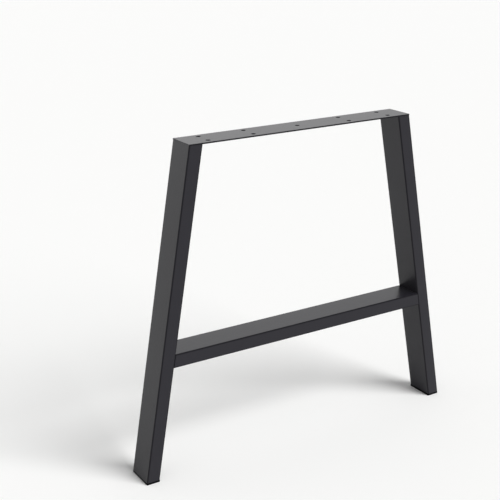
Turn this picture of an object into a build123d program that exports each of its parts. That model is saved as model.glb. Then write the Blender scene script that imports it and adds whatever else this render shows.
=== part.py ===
from build123d import *
import math
import os

os.makedirs("parts", exist_ok=True)

# All sizes are in millimetres. X runs along the frame, Y through its depth with the front at -Y,
# Z is up, and the frame stands on Z = 0 with its middle over the origin.

# Whole frame
overall_height = 720.0
base_length = 808.0
bar_underside_height = 255.0

# Steel tube of both uprights and of the cross bar
tube_depth = 70.0
tube_width = 30.0
tube_wall = 1.5
tube_corner_radius = 2.5

# Top plate
plate_length = 550.0
plate_width = 70.0
plate_thickness = 3.0
plate_corner_radius = 1.0
plate_edge_round = 0.25

# Screw holes in the top plate: an outer and an inner set of four, and one in the middle
hole_diameter = 10.0
outer_hole_spacing = 450.0
inner_hole_spacing = 240.0
hole_row_spacing = 40.0

# Fillet welds
weld_leg = 3.0
weld_bulge = 0.4
weld_end_setback = 6.0

# Plastic foot plug: a flange under the tube, a hollow shank with fins inside it
flange_thickness = 4.5
flange_inner_overhang = 0.5
flange_corner_radius = 2.0
flange_edge_round = 0.8
shank_length = 20.0
shank_wall = 2.0
shank_gap = 1.8
fin_count = 3
fin_thickness = 1.0
fin_pitch = 4.5
first_fin_height = 6.5
fin_clearance = 0.1

# Lean of the uprights: the outer faces meet the ends of the plate
plate_underside = overall_height - plate_thickness
upright_rise = plate_underside - flange_thickness
outer_half_low = base_length / 2
outer_half_high = plate_length / 2
lean = math.atan((outer_half_low - outer_half_high) / upright_rise)
level_width = tube_width / math.cos(lean)
inner_half_low = outer_half_low - level_width
inner_half_high = outer_half_high - level_width
tube_inner_depth = tube_depth - 2 * tube_wall
tube_inner_width = tube_width - 2 * tube_wall
tube_inner_radius = max(tube_corner_radius - tube_wall, 0.4)


def slab(low, high):
    """A wide block between two levels, to cut a leaning tube off level."""
    side = 4 * base_length
    return Pos(0, 0, (low + high) / 2) * Box(side, side, high - low)


# The right upright's own axes: origin in the middle of its lower end, Z up along the tube
foot_axes = Plane(
    origin=(outer_half_low - level_width / 2, 0, flange_thickness),
    x_dir=(math.cos(lean), 0, math.sin(lean)),
    z_dir=(-math.sin(lean), 0, math.cos(lean)),
)

# Uprights: hollow rectangular tube, cut level under the plate and over the foot flange
tube_outline = RectangleRounded(tube_width, tube_depth, tube_corner_radius)
tube_bore = RectangleRounded(tube_inner_width, tube_inner_depth, tube_inner_radius)
tube_section = tube_outline - tube_bore
long_upright = extrude(foot_axes * tube_section, amount=2 * overall_height, both=True)
right_upright = long_upright & slab(flange_thickness, plate_underside)
left_upright = mirror(right_upright, about=Plane.YZ)

# Cross bar: the same tube laid level, its ends cut to the lean of the uprights' inner faces
bar_axes = Plane(
    origin=(0, 0, bar_underside_height + tube_width / 2),
    x_dir=(0, 0, 1),
    z_dir=(1, 0, 0),
)
long_bar = extrude(bar_axes * tube_section, amount=base_length, both=True)
between_uprights = Polyline(
    (-inner_half_low, 0, flange_thickness),
    (inner_half_low, 0, flange_thickness),
    (inner_half_high, 0, plate_underside),
    (-inner_half_high, 0, plate_underside),
    close=True,
)
window = extrude(make_face(between_uprights), amount=tube_depth, both=True, dir=(0, 1, 0))
cross_bar = long_bar & window

# Top plate with its nine holes and broken edges
plate_axes = Plane.XY.offset(plate_underside)
plate_outline = RectangleRounded(plate_length, plate_width, plate_corner_radius)
plate_blank = extrude(plate_axes * plate_outline, amount=plate_thickness)
outline_edges = plate_blank.edges().filter_by_position(
    Axis.Z, plate_underside, plate_underside
) + plate_blank.edges().filter_by_position(Axis.Z, overall_height, overall_height)
plate_blank = fillet(outline_edges, plate_edge_round)
one_hole = Circle(hole_diameter / 2)
hole_spots = [
    Location((0, 0, 0)),
    *GridLocations(outer_hole_spacing, hole_row_spacing, 2, 2),
    *GridLocations(inner_hole_spacing, hole_row_spacing, 2, 2),
]
hole_layout = Sketch() + [spot * one_hole for spot in hole_spots]
top_plate = plate_blank - extrude(plate_axes * hole_layout, amount=plate_thickness)


def weld_bead(corner, along_level, along_upright):
    """A slightly domed fillet weld in the corner between a level face and an upright's inner face."""
    on_level = corner + along_level * weld_leg
    on_upright = corner + along_upright * weld_leg
    middle = (on_level + on_upright) * 0.5
    outward = (middle - corner).normalized()
    face = make_face(
        [
            Line(corner, on_level),
            ThreePointArc(on_level, middle + outward * weld_bulge, on_upright),
            Line(on_upright, corner),
        ]
    )
    flat_depth = tube_depth - 2 * tube_corner_radius
    half_length = flat_depth / 2 - weld_end_setback
    return extrude(face, amount=half_length, both=True, dir=(0, 1, 0))


def inner_corner(level):
    """The point of the right upright's inner face at a level, on the frame's middle plane."""
    return Vector(inner_half_low - (level - flange_thickness) * math.tan(lean), 0, level)


# Welds: along the underside of the cross bar and of the plate, where they don't show
inward = Vector(-1, 0, 0)
down_the_upright = Vector(math.sin(lean), 0, -math.cos(lean))
right_bar_bead = weld_bead(inner_corner(bar_underside_height), inward, down_the_upright)
right_plate_bead = weld_bead(inner_corner(plate_underside), inward, down_the_upright)
bar_welds = Compound(children=[right_bar_bead, mirror(right_bar_bead, about=Plane.YZ)])
plate_welds = Compound(children=[right_plate_bead, mirror(right_plate_bead, about=Plane.YZ)])

# Foot plug: flange with upright sides, flush with the tube's outer side
flange_width = level_width + flange_inner_overhang
flange_outline = RectangleRounded(flange_width, tube_depth, flange_corner_radius)
flange_middle = outer_half_low - flange_width / 2
flange = extrude(Pos(flange_middle, 0, 0) * flange_outline, amount=flange_thickness)
flange = fillet(flange.edges().filter_by_position(Axis.Z, 0, 0), flange_edge_round)

# Shank inside the tube, open at its upper end, with fins that centre it in the tube
shank_outer_width = tube_inner_width - 2 * shank_gap
shank_outer_depth = tube_inner_depth - 2 * shank_gap
shank_outline = Rectangle(shank_outer_width, shank_outer_depth)
shank_hollow = Rectangle(shank_outer_width - 2 * shank_wall, shank_outer_depth - 2 * shank_wall)
fin_outline = RectangleRounded(
    tube_inner_width - 2 * fin_clearance,
    tube_inner_depth - 2 * fin_clearance,
    tube_inner_radius,
)
long_shank = extrude(foot_axes.offset(-shank_length) * shank_outline, amount=2 * shank_length)
long_hollow = extrude(foot_axes.offset(-shank_length) * shank_hollow, amount=3 * shank_length)
shank = long_shank & slab(flange_thickness / 2, overall_height)
fins = [
    extrude(foot_axes.offset(first_fin_height + fin_pitch * i) * fin_outline, amount=fin_thickness)
    for i in range(fin_count)
]
hollow = long_hollow & slab(flange_thickness, overall_height)
right_foot_plug = flange + shank + fins - hollow
left_foot_plug = mirror(right_foot_plug, about=Plane.YZ)

pieces = {
    "top_plate": top_plate,
    "left_upright": left_upright,
    "right_upright": right_upright,
    "cross_bar": cross_bar,
    "bar_welds": bar_welds,
    "plate_welds": plate_welds,
    "left_foot_plug": left_foot_plug,
    "right_foot_plug": right_foot_plug,
}
for name, piece in pieces.items():
    export_step(piece, f"parts/{name}.step")
    print(name, len(piece.solids()), round(piece.volume), piece.bounding_box().size)
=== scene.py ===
# %% [markdown]
# An A-shaped steel table leg
#
# The real leg is a welded frame: two leaning tubes, a cross bar of the same tube, a drilled flat bar
# on top and a plastic plug in each open foot, all black. The CAD frame gives every place and size.
# This lesson loads it, then models each piece again with the small things that make it look made:
# rounded tube corners, eased edges, rippled welds and a coat of satin powder paint.

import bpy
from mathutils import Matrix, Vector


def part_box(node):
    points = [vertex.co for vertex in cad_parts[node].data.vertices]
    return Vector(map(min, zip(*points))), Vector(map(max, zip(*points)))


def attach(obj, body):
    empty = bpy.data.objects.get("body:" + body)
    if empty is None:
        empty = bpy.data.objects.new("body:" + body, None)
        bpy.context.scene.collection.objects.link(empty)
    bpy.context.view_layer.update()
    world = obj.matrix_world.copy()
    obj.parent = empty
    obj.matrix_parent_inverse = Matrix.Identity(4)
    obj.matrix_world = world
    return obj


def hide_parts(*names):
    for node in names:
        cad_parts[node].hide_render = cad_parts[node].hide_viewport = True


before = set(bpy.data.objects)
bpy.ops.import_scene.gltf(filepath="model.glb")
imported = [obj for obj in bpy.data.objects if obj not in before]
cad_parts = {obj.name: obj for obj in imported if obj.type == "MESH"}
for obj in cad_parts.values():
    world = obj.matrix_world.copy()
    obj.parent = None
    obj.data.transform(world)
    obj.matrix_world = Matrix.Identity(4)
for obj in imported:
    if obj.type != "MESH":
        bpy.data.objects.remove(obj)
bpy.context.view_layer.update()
print("nodes:", sorted(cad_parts))

# %% [markdown]
# Sizes
#
# Blender works in metres and the drawing in millimetres, so one value turns one into the other.
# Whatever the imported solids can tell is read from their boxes. Only sizes that a box can't show,
# such as the tube's wall, are written again here.

# %% Sizes read from the solids
import math

import bmesh
import bpy
from mathutils import Matrix, Vector

MM = 0.001
plate_low, plate_high = (Vector(corner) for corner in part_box("top_plate"))
tube_low, tube_high = (Vector(corner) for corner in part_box("right_upright"))
bar_low, bar_high = (Vector(corner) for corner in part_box("cross_bar"))
plate_size = plate_high - plate_low
tube_depth = tube_high.y - tube_low.y
tube_width = bar_high.z - bar_low.z
print("plate in mm:", [round(side / MM, 2) for side in plate_size])

# %% Lean of the uprights
outer_run = tube_high.x - plate_high.x
tube_rise = tube_high.z - tube_low.z
lean = math.atan2(outer_run, tube_rise)
level_width = tube_width / math.cos(lean)
axis_foot_x = tube_high.x - level_width / 2
inner_foot_x = tube_high.x - level_width
print("lean in degrees:", round(math.degrees(lean), 3))

# %% [markdown]
# Black powder coat
#
# The steel is coated with black polyester powder, baked until it flows. It dries to a satin skin:
# nearly black in itself, with a soft reflection that grows strong at a flat angle, so level faces look
# grey. The powder leaves a faint orange peel a few millimetres wide, and the melt draws away from
# corners and cut edges, where the skin is thinner and duller. A clear-cut way to get this is one
# Principled shader with a dark colour, a dielectric IOR and slow changes in colour and roughness. Each
# piece marks its own corners and cut edges with an attribute, and the shader dulls them. It also paints
# them darker, which is painted shade: the dark lines along rounded corners and the shade in the holes.

# %% Colour and node helpers
def linear(code):
    """Turns an sRGB colour written as hex into the linear values that shaders use."""
    shares = [int(code[i : i + 2], 16) / 255 for i in (1, 3, 5)]
    values = [s / 12.92 if s <= 0.04045 else ((s + 0.055) / 1.055) ** 2.4 for s in shares]
    return (*values, 1.0)


def add_node(tree, kind, inputs, **settings):
    """Adds one shader node, sets its options, then fills its sockets with values or links."""
    made = tree.nodes.new(kind)
    for option, value in settings.items():
        setattr(made, option, value)
    for socket, value in inputs.items():
        if isinstance(value, bpy.types.NodeSocket):
            tree.links.new(value, made.inputs[socket])
        else:
            made.inputs[socket].default_value = value
    return made


def empty_material(name):
    """A material with nothing in it but its output."""
    material = bpy.data.materials.new(name)
    material.use_nodes = True
    material.node_tree.nodes.clear()
    return material


print("middle grey in linear light:", round(linear("#808080")[0], 4))

# %% Patterns in the powder coat
COAT_SHADE_SIZE = 45 * MM
COAT_SHADE_DETAIL = 4.0
# Real orange peel is 2 to 3 mm wide and some 0.02 mm deep. It is drawn wider and deeper, because on a
# satin skin the real waves are lost between pixels.
PEEL_SIZE = 4 * MM
PEEL_HEIGHT = 0.13 * MM
PEEL_DETAIL = 2.0
# Faces with this attribute have a thin, dull coat, and are also painted darker as shade.
THIN_COAT_AND_SHADE = "thin_coat_and_painted_shade"

powder_coat = empty_material("black_satin_powder_coat")
tree = powder_coat.node_tree
place = add_node(tree, "ShaderNodeTexCoord", {})
shade = add_node(
    tree,
    "ShaderNodeTexNoise",
    {
        "Vector": place.outputs["Object"],
        "Scale": 1 / COAT_SHADE_SIZE,
        "Detail": COAT_SHADE_DETAIL,
    },
)
peel = add_node(
    tree,
    "ShaderNodeTexNoise",
    {"Vector": place.outputs["Object"], "Scale": 1 / PEEL_SIZE, "Detail": PEEL_DETAIL},
)
thin_and_shaded = add_node(tree, "ShaderNodeAttribute", {}, attribute_name=THIN_COAT_AND_SHADE)
print("orange peel in mm:", round(PEEL_SIZE / MM, 2), "wide,", round(PEEL_HEIGHT / MM, 2), "high")

# %% Colour, painted shade, gloss and relief of the powder coat
COAT_DARK = "#1a191f"
COAT_LIGHT = "#1e1d23"
COAT_ROUGHNESS = (0.30, 0.36)
COAT_IOR = 1.35
# Painted shade: the colour of marked corners, edges and holes, darker than the coat.
PAINTED_SHADE_COLOUR = "#141318"
THIN_COAT_DULLING = 0.45

colour = add_node(
    tree,
    "ShaderNodeMix",
    {"Factor": shade.outputs["Fac"], "A": linear(COAT_DARK), "B": linear(COAT_LIGHT)},
    data_type="RGBA",
)
# Marked faces are painted darker: painted shade laid over the coat's own colour.
with_painted_shade = add_node(
    tree,
    "ShaderNodeMix",
    {"Factor": thin_and_shaded.outputs["Fac"], "A": colour.outputs["Result"], "B": linear(PAINTED_SHADE_COLOUR)},
    data_type="RGBA",
)
rough = add_node(
    tree,
    "ShaderNodeMapRange",
    {"Value": peel.outputs["Fac"], "To Min": COAT_ROUGHNESS[0], "To Max": COAT_ROUGHNESS[1]},
)
dulled = add_node(
    tree,
    "ShaderNodeMath",
    {0: thin_and_shaded.outputs["Fac"], 1: THIN_COAT_DULLING, 2: rough.outputs["Result"]},
    operation="MULTIPLY_ADD",
)
bump = add_node(
    tree,
    "ShaderNodeBump",
    {"Height": peel.outputs["Fac"], "Strength": 1.0, "Distance": PEEL_HEIGHT},
)
skin = add_node(
    tree,
    "ShaderNodeBsdfPrincipled",
    {
        "Base Color": with_painted_shade.outputs["Result"],
        "Roughness": dulled.outputs["Value"],
        "Normal": bump.outputs["Normal"],
        "IOR": COAT_IOR,
    },
)
add_node(tree, "ShaderNodeOutputMaterial", {"Surface": skin.outputs["BSDF"]})
print("made", powder_coat.name, "with", len(tree.nodes), "nodes")

# %% [markdown]
# Black polyethylene
#
# The plugs are injection moulded in soft black polyethylene. The steel mould is spark eroded, which
# leaves an even, fine, matt grain. The plastic is blacker and duller than the coat above it, so it shows
# as a thin dark band under each tube.

# %% Plug material
PLUG_DARK = "#030303"
PLUG_LIGHT = "#060607"
# Real spark grain is about 0.2 mm wide and 0.04 mm deep. It is drawn five times as large, so that it
# shows in a close view.
GRAIN_SIZE = 1 * MM
GRAIN_HEIGHT = 0.2 * MM
GRAIN_DETAIL = 3.0
PLUG_ROUGHNESS = (0.66, 0.76)
PLUG_IOR = 1.5
# Light is caught between the grains, so much less of it comes back than from a smooth face.
PLUG_GLOSS = 0.05

plug_plastic = empty_material("black_moulded_polyethylene")
tree = plug_plastic.node_tree
place = add_node(tree, "ShaderNodeTexCoord", {})
grain = add_node(
    tree,
    "ShaderNodeTexNoise",
    {"Vector": place.outputs["Object"], "Scale": 1 / GRAIN_SIZE, "Detail": GRAIN_DETAIL},
)
colour = add_node(
    tree,
    "ShaderNodeMix",
    {"Factor": grain.outputs["Fac"], "A": linear(PLUG_DARK), "B": linear(PLUG_LIGHT)},
    data_type="RGBA",
)
rough = add_node(
    tree,
    "ShaderNodeMapRange",
    {"Value": grain.outputs["Fac"], "To Min": PLUG_ROUGHNESS[0], "To Max": PLUG_ROUGHNESS[1]},
)
bump = add_node(
    tree,
    "ShaderNodeBump",
    {"Height": grain.outputs["Fac"], "Strength": 1.0, "Distance": GRAIN_HEIGHT},
)
skin = add_node(
    tree,
    "ShaderNodeBsdfPrincipled",
    {
        "Base Color": colour.outputs["Result"],
        "Roughness": rough.outputs["Result"],
        "Normal": bump.outputs["Normal"],
        "IOR": PLUG_IOR,
        "Specular IOR Level": PLUG_GLOSS,
    },
)
add_node(tree, "ShaderNodeOutputMaterial", {"Surface": skin.outputs["BSDF"]})
print("made", plug_plastic.name, "with", len(tree.nodes), "nodes")

# %% [markdown]
# Uprights
#
# Each upright is a length of 70 by 30 mm welded tube with rounded corners, sawn level at both ends.
# A box without ends, bevelled along its four long edges, is such a tube's skin, and Solidify gives it
# the wall. The tube is then leaned over and both ends are cut by level planes. Cutting after the wall
# is there keeps the sawn rims flat.

# %% From bmesh to a finished piece
SHARP_ANGLE = math.radians(40)


def finished_piece(name, bm, finish, node):
    """Makes a bmesh a piece that takes the place of a CAD node, with flat faces that shade flat."""
    for face in bm.faces:
        face.smooth = True
    for edge in bm.edges:
        edge.smooth = edge.calc_face_angle(0.0) < SHARP_ANGLE
    open_edges = sum(not edge.is_manifold for edge in bm.edges)
    mesh = bpy.data.meshes.new(name)
    bm.to_mesh(mesh)
    bm.free()
    mesh.materials.append(finish)
    piece = bpy.data.objects.new(name, mesh)
    bpy.context.scene.collection.objects.link(piece)
    shading = piece.modifiers.new("even_shading", "WEIGHTED_NORMAL")
    shading.keep_sharp = True
    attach(piece, "root")
    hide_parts(node)
    print(name, len(mesh.polygons), "faces,", open_edges, "open edges")


# %% Helpers for edges
def rounded(bm, geometry, radius, steps, affect="EDGES"):
    """Rounds some edges of a bmesh, or the corners of a flat outline."""
    bmesh.ops.bevel(
        bm,
        geom=geometry,
        offset=radius,
        offset_type="OFFSET",
        affect=affect,
        segments=steps,
        profile=0.5,
        material=-1,
    )


def rise(edge):
    """How much higher one end of an edge lies than the other."""
    return abs(edge.verts[0].co.z - edge.verts[1].co.z)


# %% A length of tube, standing on end
TUBE_WALL = 1.5 * MM
TUBE_CORNER = 2.5 * MM
CORNER_STEPS = 8
# A face looks along an axis if its normal has more than the first share there, and straight along it
# if it has more than the second.
FACING_SHARE = 0.5
FLAT_SHARE = 0.999


def standing_tube(length):
    """A hollow tube on end round the origin, narrow along X and deep along Y."""
    bm = bmesh.new()
    bmesh.ops.create_cube(bm, size=1.0)
    bmesh.ops.scale(bm, vec=(tube_width, tube_depth, length), verts=bm.verts)
    bm.normal_update()
    ends = [face for face in bm.faces if abs(face.normal.z) > FACING_SHARE]
    bmesh.ops.delete(bm, geom=ends, context="FACES_ONLY")
    corners = [edge for edge in bm.edges if rise(edge) > length / 2]
    rounded(bm, corners, TUBE_CORNER, CORNER_STEPS)
    bm.normal_update()
    # Rounded corners are marked for a thin, dull coat and for painted shade.
    thin_and_shade_mark = bm.faces.layers.float.new(THIN_COAT_AND_SHADE)
    for face in bm.faces:
        face[thin_and_shade_mark] = float(max(abs(face.normal.x), abs(face.normal.y)) < FLAT_SHARE)
    bmesh.ops.solidify(bm, geom=bm.faces[:], thickness=TUBE_WALL)
    return bm


print("tube in mm:", round(tube_width / MM, 2), "by", round(tube_depth / MM, 2))

# %% Sawing a tube off
RIM_EASE = 0.25 * MM
RIM_STEPS = 2
# Points nearer to a plane than this lie on it.
ON_PLANE = 0.01 * MM


def saw_off(bm, point, outward):
    """Cuts a tube at a plane, closes the rim of its wall and eases the rim's edges."""
    everything = bm.verts[:] + bm.edges[:] + bm.faces[:]
    bmesh.ops.bisect_plane(bm, geom=everything, plane_co=point, plane_no=outward, clear_outer=True)
    rim = []
    for edge in bm.edges:
        heights = [abs((vert.co - point).dot(outward)) for vert in edge.verts]
        if edge.is_boundary and max(heights) < ON_PLANE:
            rim.append(edge)
    bmesh.ops.bridge_loops(bm, edges=rim)
    rounded(bm, rim, RIM_EASE, RIM_STEPS)


# %% Both uprights
UP = Vector((0, 0, 1))
DOWN = Vector((0, 0, -1))
middle_height = (tube_low.z + tube_high.z) / 2
middle_x = axis_foot_x - (middle_height - tube_low.z) * math.tan(lean)
# The stock is longer than the upright, so that both saw cuts go right through it.
upright_stock = 2 * tube_rise

for name, side in (("left_upright", -1), ("right_upright", 1)):
    bm = standing_tube(upright_stock)
    leaned = Matrix.Rotation(-side * lean, 4, "Y")
    placed = Matrix.Translation((side * middle_x, 0, middle_height))
    bmesh.ops.transform(bm, matrix=placed @ leaned, verts=bm.verts)
    saw_off(bm, Vector((0, 0, tube_high.z)), UP)
    saw_off(bm, Vector((0, 0, tube_low.z)), DOWN)
    finished_piece(f"{name}_tube", bm, powder_coat, name)

# %% [markdown]
# Cross bar
#
# The bar is the same tube laid level with its broad side up, mitred to the lean of the uprights so that
# its ends lie flat against them. The same helper makes it: the tube is laid along X, then each end is
# sawn by the plane of an upright's inner face.

# %% The bar between the uprights
QUARTER_TURN = math.radians(90)
bar_height = (bar_low.z + bar_high.z) / 2
bar_stock = 2 * tube_high.x

bm = standing_tube(bar_stock)
laid_down = Matrix.Rotation(QUARTER_TURN, 4, "Y")
bmesh.ops.transform(bm, matrix=Matrix.Translation((0, 0, bar_height)) @ laid_down, verts=bm.verts)
for side in (-1, 1):
    on_inner_face = Vector((side * inner_foot_x, 0, tube_low.z))
    into_upright = Vector((side * math.cos(lean), 0, math.sin(lean)))
    saw_off(bm, on_inner_face, into_upright)
finished_piece("cross_bar_tube", bm, powder_coat, "cross_bar")

# %% [markdown]
# Top plate
#
# The plate is a length of flat bar with nine punched holes: four near its ends, four further in and one
# in the middle. It could be cut from a block with booleans, but a flat outline with round holes, filled
# once and given its thickness, keeps clean rims that can be eased. The coat rounds every edge a little.
# It is thin on the long sides and in the holes, and full on the ends, which are ground flush with the
# uprights. Where it is thin it is dulled, and painted darker as shade.

# %% Places of the holes
OUTER_SPACING = 450 * MM
INNER_SPACING = 240 * MM
ROW_SPACING = 40 * MM

hole_spots = [Vector((0, 0, plate_high.z))]
for spacing in (OUTER_SPACING, INNER_SPACING):
    for x in (-spacing / 2, spacing / 2):
        for y in (-ROW_SPACING / 2, ROW_SPACING / 2):
            hole_spots.append(Vector((x, y, plate_high.z)))
print("holes in the plate:", len(hole_spots))

# %% Flat outline of the plate
HOLE_RADIUS = 5.0 * MM
HOLE_STEPS = 40
PLATE_CORNER = 1.0 * MM
PLATE_CORNER_STEPS = 4

bm = bmesh.new()
# A square with sides of one metre is stretched to the plate's size.
bmesh.ops.create_grid(bm, x_segments=1, y_segments=1, size=0.5)
bmesh.ops.scale(bm, vec=(plate_size.x, plate_size.y, 1.0), verts=bm.verts)
bmesh.ops.translate(bm, vec=(0, 0, plate_high.z), verts=bm.verts)
rounded(bm, bm.verts[:], PLATE_CORNER, PLATE_CORNER_STEPS, affect="VERTICES")
bmesh.ops.delete(bm, geom=bm.faces[:], context="FACES_ONLY")
for spot in hole_spots:
    bmesh.ops.create_circle(
        bm, cap_ends=False, radius=HOLE_RADIUS, segments=HOLE_STEPS, matrix=Matrix.Translation(spot)
    )
bmesh.ops.triangle_fill(bm, edges=bm.edges[:], use_beauty=True, use_dissolve=False, normal=UP)
print("plate outline:", len(bm.faces), "faces")

# %% Thickness and eased rims of the plate
PLATE_EASE = 0.25 * MM
PLATE_EASE_STEPS = 3
HOLE_EASE = 0.15 * MM
HOLE_EASE_STEPS = 2
# What lies nearer to a hole's middle than this belongs to the hole.
HOLE_REACH = 1.1 * HOLE_RADIUS
RIM_ANGLE = math.radians(60)


def in_a_hole(point):
    """Whether a point of the plate is on the wall or the rim of a hole."""
    return min((point.xy - spot.xy).length for spot in hole_spots) < HOLE_REACH


bm.normal_update()
bmesh.ops.solidify(bm, geom=bm.faces[:], thickness=plate_size.z)
bm.normal_update()
hole_rims = []
outline_rims = []
for edge in bm.edges:
    if edge.calc_face_angle(0.0) < RIM_ANGLE:
        continue
    if in_a_hole((edge.verts[0].co + edge.verts[1].co) / 2):
        hole_rims.append(edge)
    else:
        outline_rims.append(edge)
rounded(bm, hole_rims, HOLE_EASE, HOLE_EASE_STEPS)
outline_rims = [edge for edge in outline_rims if edge.is_valid]
rounded(bm, outline_rims, PLATE_EASE, PLATE_EASE_STEPS)
print("eased", len(hole_rims), "edges of holes and", len(outline_rims), "of the outline")

# %% Thin coat and painted shade of the plate
bm.normal_update()
# Long sides and holes are marked for a thin, dull coat and for painted shade.
thin_and_shade_mark = bm.faces.layers.float.new(THIN_COAT_AND_SHADE)
for face in bm.faces:
    on_long_side = abs(face.normal.y) > FACING_SHARE
    thinned_and_shaded = on_long_side or in_a_hole(face.calc_center_median())
    face[thin_and_shade_mark] = float(thinned_and_shaded and abs(face.normal.z) < FLAT_SHARE)
finished_piece("top_plate_bar", bm, powder_coat, "top_plate")

# %% [markdown]
# Welds
#
# The bar and the plate are joined to the uprights by short fillet welds on their undersides, where they
# don't show from above. A weld pool freezes in steps, so a bead is a row of ripples, each bowed like a
# crescent. The bead is thinner where it starts and stops. Here one section of it is extruded ripple by
# ripple, and scaled about the corner as it goes.

# %% Extruding one face
def extruded(bm, face, move):
    """Extrudes a face with its edges, so that no wall is left inside, and returns the new face."""
    grown = bmesh.ops.extrude_face_region(bm, geom=[face, *face.edges])["geom"]
    verts = [part for part in grown if isinstance(part, bmesh.types.BMVert)]
    bmesh.ops.translate(bm, vec=move, verts=verts)
    return [part for part in grown if isinstance(part, bmesh.types.BMFace)][0]


# %% Stations along a bead
WELD_HALF_LENGTH = 26.4 * MM
# The middle of a ripple runs this far ahead of its sides.
WELD_BOW = 0.9 * MM
RIPPLES = 20
# Size of the section at each station, as a share of the full one: along a ripple, then at an end.
RIPPLE_SHAPE = (0.9, 0.97, 1.0, 0.95)
END_SHAPE = (0.45, 0.72, 0.86)

bead_shapes = [*END_SHAPE, *(RIPPLE_SHAPE * RIPPLES), *reversed(END_SHAPE)]
bead_stride = (2 * WELD_HALF_LENGTH - WELD_BOW) / (len(bead_shapes) - 1)
print("a bead has", len(bead_shapes), "stations,", round(bead_stride / MM, 3), "mm apart")

# %% One rippled bead
WELD_LEG = 3.0 * MM
WELD_BULGE = 0.4 * MM
WELD_ARC_STEPS = 7


def weld_bead(bm, corner, along_level, along_upright):
    """Adds one bead along Y in the corner between a level face and an upright's inner face."""
    outward = (along_level + along_upright).normalized()
    section = [bm.verts.new(corner)]
    for step in range(WELD_ARC_STEPS + 1):
        share = step / WELD_ARC_STEPS
        dome = math.sin(math.pi * share)
        point = corner + (along_level * (1 - share) + along_upright * share) * WELD_LEG
        point += outward * (WELD_BULGE * dome)
        section.append(bm.verts.new(point + Vector((0, WELD_BOW * dome, 0))))
    tip = bm.faces.new(section)
    bmesh.ops.translate(bm, vec=(0, -WELD_HALF_LENGTH, 0), verts=section)
    to_corner = Matrix.Translation(-corner)
    size = 1.0
    for station, shape in enumerate(bead_shapes):
        if station > 0:
            tip = extruded(bm, tip, Vector((0, bead_stride, 0)))
        change = shape / size
        bmesh.ops.scale(bm, vec=(change, 1.0, change), space=to_corner, verts=tip.verts[:])
        size = shape


# %% Beads under the bar and under the plate
def inner_corner(side, height):
    """The point of an upright's inner face at a height, on the frame's middle plane."""
    return Vector((side * (inner_foot_x - (height - tube_low.z) * math.tan(lean)), 0, height))


bar_beads = bmesh.new()
plate_beads = bmesh.new()
for side in (-1, 1):
    inward = Vector((-side, 0, 0))
    down_tube = Vector((side * math.sin(lean), 0, -math.cos(lean)))
    weld_bead(bar_beads, inner_corner(side, bar_low.z), inward, down_tube)
    weld_bead(plate_beads, inner_corner(side, plate_low.z), inward, down_tube)
bmesh.ops.recalc_face_normals(bar_beads, faces=bar_beads.faces)
bmesh.ops.recalc_face_normals(plate_beads, faces=plate_beads.faces)
finished_piece("bar_weld_beads", bar_beads, powder_coat, "bar_welds")
finished_piece("plate_weld_beads", plate_beads, powder_coat, "plate_welds")

# %% [markdown]
# Foot plugs
#
# A plug is pushed into each open foot. Its flange carries the leg and keeps the sawn edge off the floor,
# flush with the tube outside and a little proud of it inside. Above it a hollow shank with fins holds it
# in the tube. All of it grows from one block: the top face is drawn in to the shank, then extruded up
# along the leaning tube, widened for each fin and narrowed again. At the top it turns back down inside
# the shank, as far as the flange, and that leaves the hollow.

# %% Sizes of the flange
FLANGE_CORNER = 2.0 * MM
FLANGE_CORNER_STEPS = 6
FLANGE_ROUND = 0.8 * MM
FLANGE_ROUND_STEPS = 4
FLANGE_OVERHANG = 0.5 * MM

flange_thickness = tube_low.z
flange_width = level_width + FLANGE_OVERHANG
flange_x = tube_high.x - flange_width / 2
print("flange in mm:", round(flange_width / MM, 2), round(flange_thickness / MM, 2))

# %% Sizes of the shank and fins
SHANK_LENGTH = 20.0 * MM
SHANK_WALL = 2.0 * MM
SHANK_GAP = 1.8 * MM
FIN_CLEARANCE = 0.1 * MM
FIN_THICKNESS = 1.0 * MM
FIN_PITCH = 4.5 * MM
FIRST_FIN = 6.5 * MM
FIN_COUNT = 3

bore_width = tube_width - 2 * TUBE_WALL
bore_depth = tube_depth - 2 * TUBE_WALL
shank_width = bore_width - 2 * SHANK_GAP
shank_depth = bore_depth - 2 * SHANK_GAP
hollow_width = shank_width - 2 * SHANK_WALL
hollow_depth = shank_depth - 2 * SHANK_WALL
fin_width = bore_width - 2 * FIN_CLEARANCE
fin_depth = bore_depth - 2 * FIN_CLEARANCE
print("shank in mm:", round(shank_width / MM, 2), round(shank_depth / MM, 2))

# %% Flange of a plug
def flange_block(side):
    """The plug's flange as a rounded block on the floor, and its top face."""
    bm = bmesh.new()
    bmesh.ops.create_cube(bm, size=1.0)
    bmesh.ops.scale(bm, vec=(flange_width, tube_depth, flange_thickness), verts=bm.verts)
    centre = Vector((side * flange_x, 0, flange_thickness / 2))
    bmesh.ops.translate(bm, vec=centre, verts=bm.verts)
    upright_edges = [edge for edge in bm.edges if rise(edge) > ON_PLANE]
    rounded(bm, upright_edges, FLANGE_CORNER, FLANGE_CORNER_STEPS)
    floor_edges = [edge for edge in bm.edges if max(vert.co.z for vert in edge.verts) < ON_PLANE]
    rounded(bm, floor_edges, FLANGE_ROUND, FLANGE_ROUND_STEPS)
    bm.normal_update()
    top = max(bm.faces, key=lambda face: face.normal.z + face.calc_center_median().z)
    return bm, top


# %% Resizing one face
def resized(bm, face, axes, wide, deep):
    """Stretches a face to a width and depth along the X and Y of some axes."""
    local = [axes.inverted() @ vert.co for vert in face.verts]
    now_wide = max(point.x for point in local) - min(point.x for point in local)
    now_deep = max(point.y for point in local) - min(point.y for point in local)
    change = (wide / now_wide, deep / now_deep, 1.0)
    bmesh.ops.scale(bm, vec=change, space=axes.inverted(), verts=face.verts[:])


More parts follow.
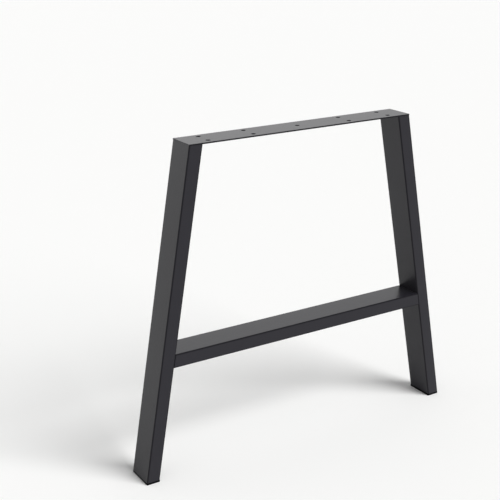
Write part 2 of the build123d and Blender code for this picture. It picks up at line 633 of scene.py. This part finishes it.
# %% Both plugs, from the flange up
for name, side in (("left_foot_plug", -1), ("right_foot_plug", 1)):
    bm, face = flange_block(side)
    foot = Vector((side * axis_foot_x, 0, tube_low.z))
    level_axes = Matrix.Translation(foot)
    turned = Matrix.Rotation(-side * lean, 4, "Y")
    axes = level_axes @ turned
    along = turned @ UP

    # The shank starts level on the flange and is square to the tube from the first fin on.
    face = extruded(bm, face, Vector((side * (axis_foot_x - flange_x), 0, 0)))
    resized(bm, face, level_axes, shank_width / math.cos(lean), shank_depth)
    face = extruded(bm, face, along * FIRST_FIN)
    spin_about = foot + along * FIRST_FIN
    bmesh.ops.rotate(bm, cent=spin_about, matrix=turned.to_3x3(), verts=face.verts[:])
    resized(bm, face, axes, shank_width, shank_depth)

    # Each fin steps out and in again.
    for fin in range(FIN_COUNT):
        face = extruded(bm, face, Vector())
        resized(bm, face, axes, fin_width, fin_depth)
        face = extruded(bm, face, along * FIN_THICKNESS)
        face = extruded(bm, face, Vector())
        resized(bm, face, axes, shank_width, shank_depth)
        face = extruded(bm, face, along * (FIN_PITCH - FIN_THICKNESS))
    top_now = (axes.inverted() @ face.calc_center_median()).z
    bmesh.ops.translate(bm, vec=along * (SHANK_LENGTH - top_now), verts=face.verts[:])

    # The hollow goes back down to the flange, where its floor is level.
    face = extruded(bm, face, Vector())
    resized(bm, face, axes, hollow_width, hollow_depth)
    face = extruded(bm, face, -along * SHANK_LENGTH)
    bmesh.ops.rotate(bm, cent=foot, matrix=turned.inverted().to_3x3(), verts=face.verts[:])
    resized(bm, face, level_axes, hollow_width / math.cos(lean), hollow_depth)
    bmesh.ops.recalc_face_normals(bm, faces=bm.faces)
    finished_piece(f"{name}_moulding", bm, plug_plastic, name)

# %% [markdown]
# Floor and light
#
# The leg stands on a plain pale floor that runs on to the horizon. The light is soft: one very broad
# lamp, high at the right of the front, gives most of it and the soft shadow that ties the feet to the
# floor, and the world adds the rest from all round. To the camera the world is white. A dark satin coat
# shows mostly what it mirrors, so to mirror rays the world is a studio: a bright backdrop at the left of
# the back that fades to a dim front.

# %% Floor
FLOOR_SIDE = 160.0
FLOOR_COLOUR = "#fafaf9"
FLOOR_ROUGHNESS = 0.9

floor_paint = empty_material("pale_floor_paint")
tree = floor_paint.node_tree
skin = add_node(
    tree,
    "ShaderNodeBsdfPrincipled",
    {"Base Color": linear(FLOOR_COLOUR), "Roughness": FLOOR_ROUGHNESS},
)
add_node(tree, "ShaderNodeOutputMaterial", {"Surface": skin.outputs["BSDF"]})
bm = bmesh.new()
bmesh.ops.create_grid(bm, x_segments=1, y_segments=1, size=FLOOR_SIDE / 2)
mesh = bpy.data.meshes.new("floor")
bm.to_mesh(mesh)
bm.free()
mesh.materials.append(floor_paint)
floor = bpy.data.objects.new("floor", mesh)
bpy.context.scene.collection.objects.link(floor)
print("floor", FLOOR_SIDE, "m wide")

# %% Studio that the coat mirrors
WORLD_BACK = 1.76
WORLD_FRONT = 0.65
TO_BACKDROP = (-0.5, 0.88, -0.32)
# The studio is brightest towards the backdrop and dims until this far round to the front.
BRIGHTEST = 1.0
DIMMEST = -0.42

world = bpy.data.worlds.new("studio")
world.use_nodes = True
tree = world.node_tree
tree.nodes.clear()
place = add_node(tree, "ShaderNodeTexCoord", {})
backward = add_node(
    tree,
    "ShaderNodeVectorMath",
    {0: place.outputs["Generated"], 1: TO_BACKDROP},
    operation="DOT_PRODUCT",
)
mirrored = add_node(
    tree,
    "ShaderNodeMapRange",
    {
        "Value": backward.outputs["Value"],
        "From Min": DIMMEST,
        "From Max": BRIGHTEST,
        "To Min": WORLD_FRONT,
        "To Max": WORLD_BACK,
    },
)
print("studio from", WORLD_FRONT, "in front to", WORLD_BACK, "behind")

# %% World as each kind of ray sees it
WORLD_COLOUR = "#ffffff"
WORLD_SHOWN = 1.0
WORLD_LIGHT = 0.40

ray = add_node(tree, "ShaderNodeLightPath", {})
mirror_or_glass = add_node(
    tree,
    "ShaderNodeMath",
    {0: ray.outputs["Is Glossy Ray"], 1: ray.outputs["Is Transmission Ray"]},
    operation="MAXIMUM",
)
unseen = add_node(
    tree,
    "ShaderNodeMix",
    {"Factor": mirror_or_glass.outputs["Value"], "A": WORLD_LIGHT, "B": mirrored.outputs["Result"]},
)
strength = add_node(
    tree,
    "ShaderNodeMix",
    {"Factor": ray.outputs["Is Camera Ray"], "A": unseen.outputs["Result"], "B": WORLD_SHOWN},
)
sky = add_node(
    tree,
    "ShaderNodeBackground",
    {"Color": linear(WORLD_COLOUR), "Strength": strength.outputs["Result"]},
)
add_node(tree, "ShaderNodeOutputWorld", {"Surface": sky.outputs["Background"]})
bpy.context.scene.world = world
print("world at", WORLD_SHOWN, "to the camera and", WORLD_LIGHT, "as light")

# %% Broad lamp
LAMP_FROM = Vector((0.40, -0.78, 0.65))
LAMP_SPREAD = math.radians(40)
LAMP_STRENGTH = 3.25

lamp = bpy.data.lights.new("broad_lamp", "SUN")
lamp.energy = LAMP_STRENGTH
lamp.angle = LAMP_SPREAD
holder = bpy.data.objects.new("broad_lamp", lamp)
holder.rotation_euler = LAMP_FROM.to_track_quat("Z", "Y").to_euler()
# The coat mirrors the studio alone, so the lamp leaves no bright spot on it.
holder.visible_glossy = False
bpy.context.scene.collection.objects.link(holder)
print("lamp at", LAMP_STRENGTH, "W per square metre")

# %% [markdown]
# Camera
#
# The camera stands to the left of the front and looks down at the leg. Its place, lens and shift come
# from the directions of the leg's straight edges: together they set where the frame sits in the picture.

# %% Camera at the photograph's angle
PICTURE_SIDE = 500
FOCAL_PIXELS = 1049.05
AXIS_PIXEL = (288.885, 296.718)
AZIMUTH = math.radians(-33.269)
ELEVATION = math.radians(21.157)
DISTANCE = 2.33063
TARGET = Vector((-0.020865, 0.0, 0.338366))
SENSOR = 36.0

back = Vector(
    (
        math.sin(AZIMUTH) * math.cos(ELEVATION),
        -math.cos(AZIMUTH) * math.cos(ELEVATION),
        math.sin(ELEVATION),
    )
)
lens = bpy.data.cameras.new("camera")
lens.sensor_width = SENSOR
lens.lens = FOCAL_PIXELS * SENSOR / PICTURE_SIDE
lens.shift_x = (PICTURE_SIDE / 2 - AXIS_PIXEL[0]) / PICTURE_SIDE
lens.shift_y = (AXIS_PIXEL[1] - PICTURE_SIDE / 2) / PICTURE_SIDE
camera = bpy.data.objects.new("camera", lens)
camera.location = TARGET + back * DISTANCE
camera.rotation_euler = (-back).to_track_quat("-Z", "Y").to_euler()
bpy.context.scene.collection.objects.link(camera)
bpy.context.scene.camera = camera
bpy.context.scene.view_settings.view_transform = "Standard"
print("lens", round(lens.lens, 2), "mm, shift", round(lens.shift_x, 4), round(lens.shift_y, 4))
